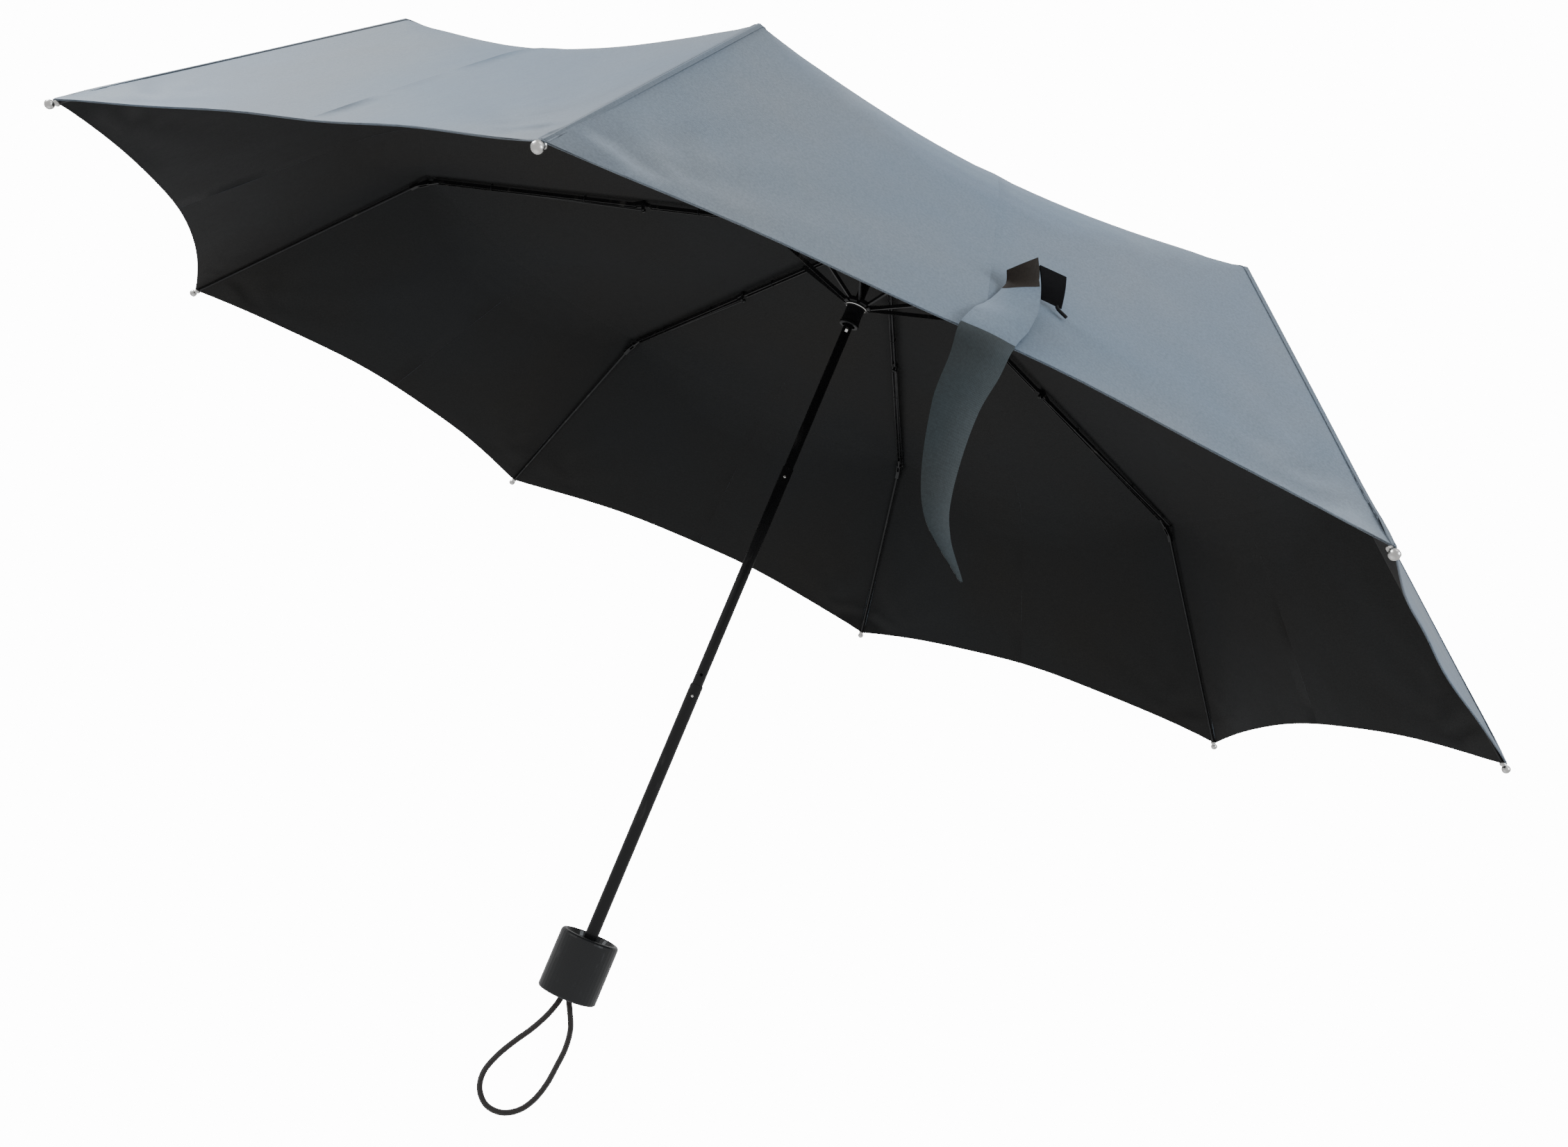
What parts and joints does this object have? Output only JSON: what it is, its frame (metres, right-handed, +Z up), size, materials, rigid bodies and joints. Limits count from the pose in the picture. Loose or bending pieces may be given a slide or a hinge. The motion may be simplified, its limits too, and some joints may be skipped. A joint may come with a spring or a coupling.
{
  "type": "folding umbrella",
  "caption": "Compact umbrella, open, with folding ribs, a telescoping shaft, a short round grip and a wrist loop; it collapses and folds by joints.",
  "frame": {"origin": "centre of the handle's bottom face, on the shaft's axis", "axes": "+Z up along the shaft towards the crown; the tie strap's gore faces between +X and -Y; ribs lie at multiples of 45 degrees from +X"},
  "size_m": [0.9638, 0.9638, 0.6494],
  "materials": {
    "canopy_cloth": "plain woven polyester, pale grey-blue outside, near black inside",
    "hook_tape": "black hook tape",
    "cord_yarn": "dark brown round woven cord",
    "grip_plastic": "black glossy moulding",
    "fitting_plastic": "black satin moulding",
    "bright_steel": "bright nickel plated",
    "shaft_steel": "black glossy lacquer",
    "rib_steel": "black lacquer, worn at the edges"
  },
  "bodies": {
    "handle": {"handle": "grip_plastic", "end_plug": "grip_plastic", "lower_tube": "shaft_steel", "wrist_cord": "cord_yarn"},
    "middle_shaft": {"middle_tube": "shaft_steel"},
    "upper_shaft": {"upper_tube": "shaft_steel", "crown": "fitting_plastic", "crown_wire": "bright_steel", "top_cap": "fitting_plastic", "catch_spring": "bright_steel", "canopy": "canopy_cloth", "tie_strap": "canopy_cloth", "strap_tab": "hook_tape"},
    "runner": {"runner": "fitting_plastic", "runner_wire": "bright_steel"},
    "lower_button": {"lower_button": "bright_steel"},
    "upper_button": {"upper_button": "bright_steel"},
    "runner_catch": {"runner_catch": "bright_steel"},
    "main_rib_0": {"main_rib_0": "rib_steel"},
    "middle_rib_0": {"middle_rib_0": "rib_steel"},
    "outer_rib_0": {"outer_rib_0": "rib_steel"},
    "stretcher_0": {"stretcher_0": "rib_steel"},
    "link_rod_0": {"link_rod_0": "rib_steel"},
    "main_rib_1": {"main_rib_1": "rib_steel"},
    "middle_rib_1": {"middle_rib_1": "rib_steel"},
    "outer_rib_1": {"outer_rib_1": "rib_steel"},
    "stretcher_1": {"stretcher_1": "rib_steel"},
    "link_rod_1": {"link_rod_1": "rib_steel"},
    "main_rib_2": {"main_rib_2": "rib_steel"},
    "middle_rib_2": {"middle_rib_2": "rib_steel"},
    "outer_rib_2": {"outer_rib_2": "rib_steel"},
    "stretcher_2": {"stretcher_2": "rib_steel"},
    "link_rod_2": {"link_rod_2": "rib_steel"},
    "main_rib_3": {"main_rib_3": "rib_steel"},
    "middle_rib_3": {"middle_rib_3": "rib_steel"},
    "outer_rib_3": {"outer_rib_3": "rib_steel"},
    "stretcher_3": {"stretcher_3": "rib_steel"},
    "link_rod_3": {"link_rod_3": "rib_steel"},
    "main_rib_4": {"main_rib_4": "rib_steel"},
    "middle_rib_4": {"middle_rib_4": "rib_steel"},
    "outer_rib_4": {"outer_rib_4": "rib_steel"},
    "stretcher_4": {"stretcher_4": "rib_steel"},
    "link_rod_4": {"link_rod_4": "rib_steel"},
    "main_rib_5": {"main_rib_5": "rib_steel"},
    "middle_rib_5": {"middle_rib_5": "rib_steel"},
    "outer_rib_5": {"outer_rib_5": "rib_steel"},
    "stretcher_5": {"stretcher_5": "rib_steel"},
    "link_rod_5": {"link_rod_5": "rib_steel"},
    "main_rib_6": {"main_rib_6": "rib_steel"},
    "middle_rib_6": {"middle_rib_6": "rib_steel"},
    "outer_rib_6": {"outer_rib_6": "rib_steel"},
    "stretcher_6": {"stretcher_6": "rib_steel"},
    "link_rod_6": {"link_rod_6": "rib_steel"},
    "main_rib_7": {"main_rib_7": "rib_steel"},
    "middle_rib_7": {"middle_rib_7": "rib_steel"},
    "outer_rib_7": {"outer_rib_7": "rib_steel"},
    "stretcher_7": {"stretcher_7": "rib_steel"},
    "link_rod_7": {"link_rod_7": "rib_steel"}
  },
  "joints": [
    {"name": "middle_tube_slide", "type": "slide", "parent": "handle", "child": "middle_shaft", "axis": [0, 0, -1], "range_m": [0, 0.158], "deforming": ["lower_button"]},
    {"name": "upper_tube_slide", "type": "slide", "parent": "middle_shaft", "child": "upper_shaft", "axis": [0, 0, -1], "range_m": [0, 0.148], "deforming": ["upper_button", "runner_catch"]},
    {"name": "runner_slide", "type": "slide", "parent": "upper_shaft", "child": "runner", "axis": [0, 0, -1], "range_m": [0, 0.11881], "deforming": ["canopy", "tie_strap", "strap_tab"]},
    {"name": "lower_button_press", "type": "slide", "parent": "middle_shaft", "child": "lower_button", "axis": [-0.2588, 0.9659, 0], "range_m": [0, 0.0009], "stiffness_N_per_m": 300},
    {"name": "upper_button_press", "type": "slide", "parent": "upper_shaft", "child": "upper_button", "axis": [-0.2588, 0.9659, 0], "range_m": [0, 0.0009], "stiffness_N_per_m": 300},
    {"name": "runner_catch_press", "type": "slide", "parent": "upper_shaft", "child": "runner_catch", "axis": [-0.2588, 0.9659, 0], "range_m": [0, 0.0014], "stiffness_N_per_m": 300, "deforming": ["catch_spring"]},
    {"name": "main_rib_0_fold", "type": "hinge", "parent": "upper_shaft", "child": "main_rib_0", "pos_m": [0.009, 0, 0.552], "axis": [0, 1, 0], "range_deg": [0, 77.82]},
    {"name": "middle_rib_0_fold", "type": "hinge", "parent": "main_rib_0", "child": "middle_rib_0", "pos_m": [0.1755, 0, 0.52024], "axis": [0, 1, 0], "range_deg": [-177.82, 0]},
    {"name": "outer_rib_0_fold", "type": "hinge", "parent": "middle_rib_0", "child": "outer_rib_0", "pos_m": [0.34128, 0, 0.48474], "axis": [0, 1, 0], "range_deg": [0, 144.52]},
    {"name": "stretcher_0_fold", "type": "hinge", "parent": "main_rib_0", "child": "stretcher_0", "pos_m": [0.09066, 0, 0.53449], "axis": [0, 1, 0], "range_deg": [-144.14, 0]},
    {"name": "link_rod_0_fold", "type": "hinge", "parent": "main_rib_0", "child": "link_rod_0", "pos_m": [0.17475, 0, 0.51631], "axis": [0, 1, 0], "range_deg": [-173.47, 0]},
    {"name": "main_rib_1_fold", "type": "hinge", "parent": "upper_shaft", "child": "main_rib_1", "pos_m": [0.00636, 0.00636, 0.552], "axis": [-0.7071, 0.7071, 0], "range_deg": [0, 77.82]},
    {"name": "middle_rib_1_fold", "type": "hinge", "parent": "main_rib_1", "child": "middle_rib_1", "pos_m": [0.1241, 0.1241, 0.52024], "axis": [-0.7071, 0.7071, 0], "range_deg": [-177.82, 0]},
    {"name": "outer_rib_1_fold", "type": "hinge", "parent": "middle_rib_1", "child": "outer_rib_1", "pos_m": [0.24132, 0.24132, 0.48474], "axis": [-0.7071, 0.7071, 0], "range_deg": [0, 144.52]},
    {"name": "stretcher_1_fold", "type": "hinge", "parent": "main_rib_1", "child": "stretcher_1", "pos_m": [0.06411, 0.06411, 0.53449], "axis": [-0.7071, 0.7071, 0], "range_deg": [-144.14, 0]},
    {"name": "link_rod_1_fold", "type": "hinge", "parent": "main_rib_1", "child": "link_rod_1", "pos_m": [0.12357, 0.12357, 0.51631], "axis": [-0.7071, 0.7071, 0], "range_deg": [-173.47, 0]},
    {"name": "main_rib_2_fold", "type": "hinge", "parent": "upper_shaft", "child": "main_rib_2", "pos_m": [0, 0.009, 0.552], "axis": [-1, 0, 0], "range_deg": [0, 77.82]},
    {"name": "middle_rib_2_fold", "type": "hinge", "parent": "main_rib_2", "child": "middle_rib_2", "pos_m": [0, 0.1755, 0.52024], "axis": [-1, 0, 0], "range_deg": [-177.82, 0]},
    {"name": "outer_rib_2_fold", "type": "hinge", "parent": "middle_rib_2", "child": "outer_rib_2", "pos_m": [0, 0.34128, 0.48474], "axis": [-1, 0, 0], "range_deg": [0, 144.52]},
    {"name": "stretcher_2_fold", "type": "hinge", "parent": "main_rib_2", "child": "stretcher_2", "pos_m": [0, 0.09066, 0.53449], "axis": [-1, 0, 0], "range_deg": [-144.14, 0]},
    {"name": "link_rod_2_fold", "type": "hinge", "parent": "main_rib_2", "child": "link_rod_2", "pos_m": [0, 0.17475, 0.51631], "axis": [-1, 0, 0], "range_deg": [-173.47, 0]},
    {"name": "main_rib_3_fold", "type": "hinge", "parent": "upper_shaft", "child": "main_rib_3", "pos_m": [-0.00636, 0.00636, 0.552], "axis": [-0.7071, -0.7071, 0], "range_deg": [0, 77.82]},
    {"name": "middle_rib_3_fold", "type": "hinge", "parent": "main_rib_3", "child": "middle_rib_3", "pos_m": [-0.1241, 0.1241, 0.52024], "axis": [-0.7071, -0.7071, 0], "range_deg": [-177.82, 0]},
    {"name": "outer_rib_3_fold", "type": "hinge", "parent": "middle_rib_3", "child": "outer_rib_3", "pos_m": [-0.24132, 0.24132, 0.48474], "axis": [-0.7071, -0.7071, 0], "range_deg": [0, 144.52]},
    {"name": "stretcher_3_fold", "type": "hinge", "parent": "main_rib_3", "child": "stretcher_3", "pos_m": [-0.06411, 0.06411, 0.53449], "axis": [-0.7071, -0.7071, 0], "range_deg": [-144.14, 0]},
    {"name": "link_rod_3_fold", "type": "hinge", "parent": "main_rib_3", "child": "link_rod_3", "pos_m": [-0.12357, 0.12357, 0.51631], "axis": [-0.7071, -0.7071, 0], "range_deg": [-173.47, 0]},
    {"name": "main_rib_4_fold", "type": "hinge", "parent": "upper_shaft", "child": "main_rib_4", "pos_m": [-0.009, 0, 0.552], "axis": [0, -1, 0], "range_deg": [0, 77.82]},
    {"name": "middle_rib_4_fold", "type": "hinge", "parent": "main_rib_4", "child": "middle_rib_4", "pos_m": [-0.1755, 0, 0.52024], "axis": [0, -1, 0], "range_deg": [-177.82, 0]},
    {"name": "outer_rib_4_fold", "type": "hinge", "parent": "middle_rib_4", "child": "outer_rib_4", "pos_m": [-0.34128, 0, 0.48474], "axis": [0, -1, 0], "range_deg": [0, 144.52]},
    {"name": "stretcher_4_fold", "type": "hinge", "parent": "main_rib_4", "child": "stretcher_4", "pos_m": [-0.09066, 0, 0.53449], "axis": [0, -1, 0], "range_deg": [-144.14, 0]},
    {"name": "link_rod_4_fold", "type": "hinge", "parent": "main_rib_4", "child": "link_rod_4", "pos_m": [-0.17475, 0, 0.51631], "axis": [0, -1, 0], "range_deg": [-173.47, 0]},
    {"name": "main_rib_5_fold", "type": "hinge", "parent": "upper_shaft", "child": "main_rib_5", "pos_m": [-0.00636, -0.00636, 0.552], "axis": [0.7071, -0.7071, 0], "range_deg": [0, 77.82]},
    {"name": "middle_rib_5_fold", "type": "hinge", "parent": "main_rib_5", "child": "middle_rib_5", "pos_m": [-0.1241, -0.1241, 0.52024], "axis": [0.7071, -0.7071, 0], "range_deg": [-177.82, 0]},
    {"name": "outer_rib_5_fold", "type": "hinge", "parent": "middle_rib_5", "child": "outer_rib_5", "pos_m": [-0.24132, -0.24132, 0.48474], "axis": [0.7071, -0.7071, 0], "range_deg": [0, 144.52]},
    {"name": "stretcher_5_fold", "type": "hinge", "parent": "main_rib_5", "child": "stretcher_5", "pos_m": [-0.06411, -0.06411, 0.53449], "axis": [0.7071, -0.7071, 0], "range_deg": [-144.14, 0]},
    {"name": "link_rod_5_fold", "type": "hinge", "parent": "main_rib_5", "child": "link_rod_5", "pos_m": [-0.12357, -0.12357, 0.51631], "axis": [0.7071, -0.7071, 0], "range_deg": [-173.47, 0]},
    {"name": "main_rib_6_fold", "type": "hinge", "parent": "upper_shaft", "child": "main_rib_6", "pos_m": [0, -0.009, 0.552], "axis": [1, 0, 0], "range_deg": [0, 77.82]},
    {"name": "middle_rib_6_fold", "type": "hinge", "parent": "main_rib_6", "child": "middle_rib_6", "pos_m": [0, -0.1755, 0.52024], "axis": [1, 0, 0], "range_deg": [-177.82, 0]},
    {"name": "outer_rib_6_fold", "type": "hinge", "parent": "middle_rib_6", "child": "outer_rib_6", "pos_m": [0, -0.34128, 0.48474], "axis": [1, 0, 0], "range_deg": [0, 144.52]},
    {"name": "stretcher_6_fold", "type": "hinge", "parent": "main_rib_6", "child": "stretcher_6", "pos_m": [0, -0.09066, 0.53449], "axis": [1, 0, 0], "range_deg": [-144.14, 0]},
    {"name": "link_rod_6_fold", "type": "hinge", "parent": "main_rib_6", "child": "link_rod_6", "pos_m": [0, -0.17475, 0.51631], "axis": [1, 0, 0], "range_deg": [-173.47, 0]},
    {"name": "main_rib_7_fold", "type": "hinge", "parent": "upper_shaft", "child": "main_rib_7", "pos_m": [0.00636, -0.00636, 0.552], "axis": [0.7071, 0.7071, 0], "range_deg": [0, 77.82]},
    {"name": "middle_rib_7_fold", "type": "hinge", "parent": "main_rib_7", "child": "middle_rib_7", "pos_m": [0.1241, -0.1241, 0.52024], "axis": [0.7071, 0.7071, 0], "range_deg": [-177.82, 0]},
    {"name": "outer_rib_7_fold", "type": "hinge", "parent": "middle_rib_7", "child": "outer_rib_7", "pos_m": [0.24132, -0.24132, 0.48474], "axis": [0.7071, 0.7071, 0], "range_deg": [0, 144.52]},
    {"name": "stretcher_7_fold", "type": "hinge", "parent": "main_rib_7", "child": "stretcher_7", "pos_m": [0.06411, -0.06411, 0.53449], "axis": [0.7071, 0.7071, 0], "range_deg": [-144.14, 0]},
    {"name": "link_rod_7_fold", "type": "hinge", "parent": "main_rib_7", "child": "link_rod_7", "pos_m": [0.12357, -0.12357, 0.51631], "axis": [0.7071, 0.7071, 0], "range_deg": [-173.47, 0]}
  ],
  "couplings": [
    {"joint": "main_rib_0_fold", "follows": "runner_slide", "rad_per_m": 11.429},
    {"joint": "middle_rib_0_fold", "follows": "runner_slide", "rad_per_m": -26.119},
    {"joint": "outer_rib_0_fold", "follows": "runner_slide", "rad_per_m": 21.227},
    {"joint": "stretcher_0_fold", "follows": "runner_slide", "rad_per_m": -21.171},
    {"joint": "link_rod_0_fold", "follows": "runner_slide", "rad_per_m": -25.48},
    {"joint": "main_rib_1_fold", "follows": "runner_slide", "rad_per_m": 11.429},
    {"joint": "middle_rib_1_fold", "follows": "runner_slide", "rad_per_m": -26.119},
    {"joint": "outer_rib_1_fold", "follows": "runner_slide", "rad_per_m": 21.227},
    {"joint": "stretcher_1_fold", "follows": "runner_slide", "rad_per_m": -21.171},
    {"joint": "link_rod_1_fold", "follows": "runner_slide", "rad_per_m": -25.48},
    {"joint": "main_rib_2_fold", "follows": "runner_slide", "rad_per_m": 11.429},
    {"joint": "middle_rib_2_fold", "follows": "runner_slide", "rad_per_m": -26.119},
    {"joint": "outer_rib_2_fold", "follows": "runner_slide", "rad_per_m": 21.227},
    {"joint": "stretcher_2_fold", "follows": "runner_slide", "rad_per_m": -21.171},
    {"joint": "link_rod_2_fold", "follows": "runner_slide", "rad_per_m": -25.48},
    {"joint": "main_rib_3_fold", "follows": "runner_slide", "rad_per_m": 11.429},
    {"joint": "middle_rib_3_fold", "follows": "runner_slide", "rad_per_m": -26.119},
    {"joint": "outer_rib_3_fold", "follows": "runner_slide", "rad_per_m": 21.227},
    {"joint": "stretcher_3_fold", "follows": "runner_slide", "rad_per_m": -21.171},
    {"joint": "link_rod_3_fold", "follows": "runner_slide", "rad_per_m": -25.48},
    {"joint": "main_rib_4_fold", "follows": "runner_slide", "rad_per_m": 11.429},
    {"joint": "middle_rib_4_fold", "follows": "runner_slide", "rad_per_m": -26.119},
    {"joint": "outer_rib_4_fold", "follows": "runner_slide", "rad_per_m": 21.227},
    {"joint": "stretcher_4_fold", "follows": "runner_slide", "rad_per_m": -21.171},
    {"joint": "link_rod_4_fold", "follows": "runner_slide", "rad_per_m": -25.48},
    {"joint": "main_rib_5_fold", "follows": "runner_slide", "rad_per_m": 11.429},
    {"joint": "middle_rib_5_fold", "follows": "runner_slide", "rad_per_m": -26.119},
    {"joint": "outer_rib_5_fold", "follows": "runner_slide", "rad_per_m": 21.227},
    {"joint": "stretcher_5_fold", "follows": "runner_slide", "rad_per_m": -21.171},
    {"joint": "link_rod_5_fold", "follows": "runner_slide", "rad_per_m": -25.48},
    {"joint": "main_rib_6_fold", "follows": "runner_slide", "rad_per_m": 11.429},
    {"joint": "middle_rib_6_fold", "follows": "runner_slide", "rad_per_m": -26.119},
    {"joint": "outer_rib_6_fold", "follows": "runner_slide", "rad_per_m": 21.227},
    {"joint": "stretcher_6_fold", "follows": "runner_slide", "rad_per_m": -21.171},
    {"joint": "link_rod_6_fold", "follows": "runner_slide", "rad_per_m": -25.48},
    {"joint": "main_rib_7_fold", "follows": "runner_slide", "rad_per_m": 11.429},
    {"joint": "middle_rib_7_fold", "follows": "runner_slide", "rad_per_m": -26.119},
    {"joint": "outer_rib_7_fold", "follows": "runner_slide", "rad_per_m": 21.227},
    {"joint": "stretcher_7_fold", "follows": "runner_slide", "rad_per_m": -21.171},
    {"joint": "link_rod_7_fold", "follows": "runner_slide", "rad_per_m": -25.48}
  ]
}
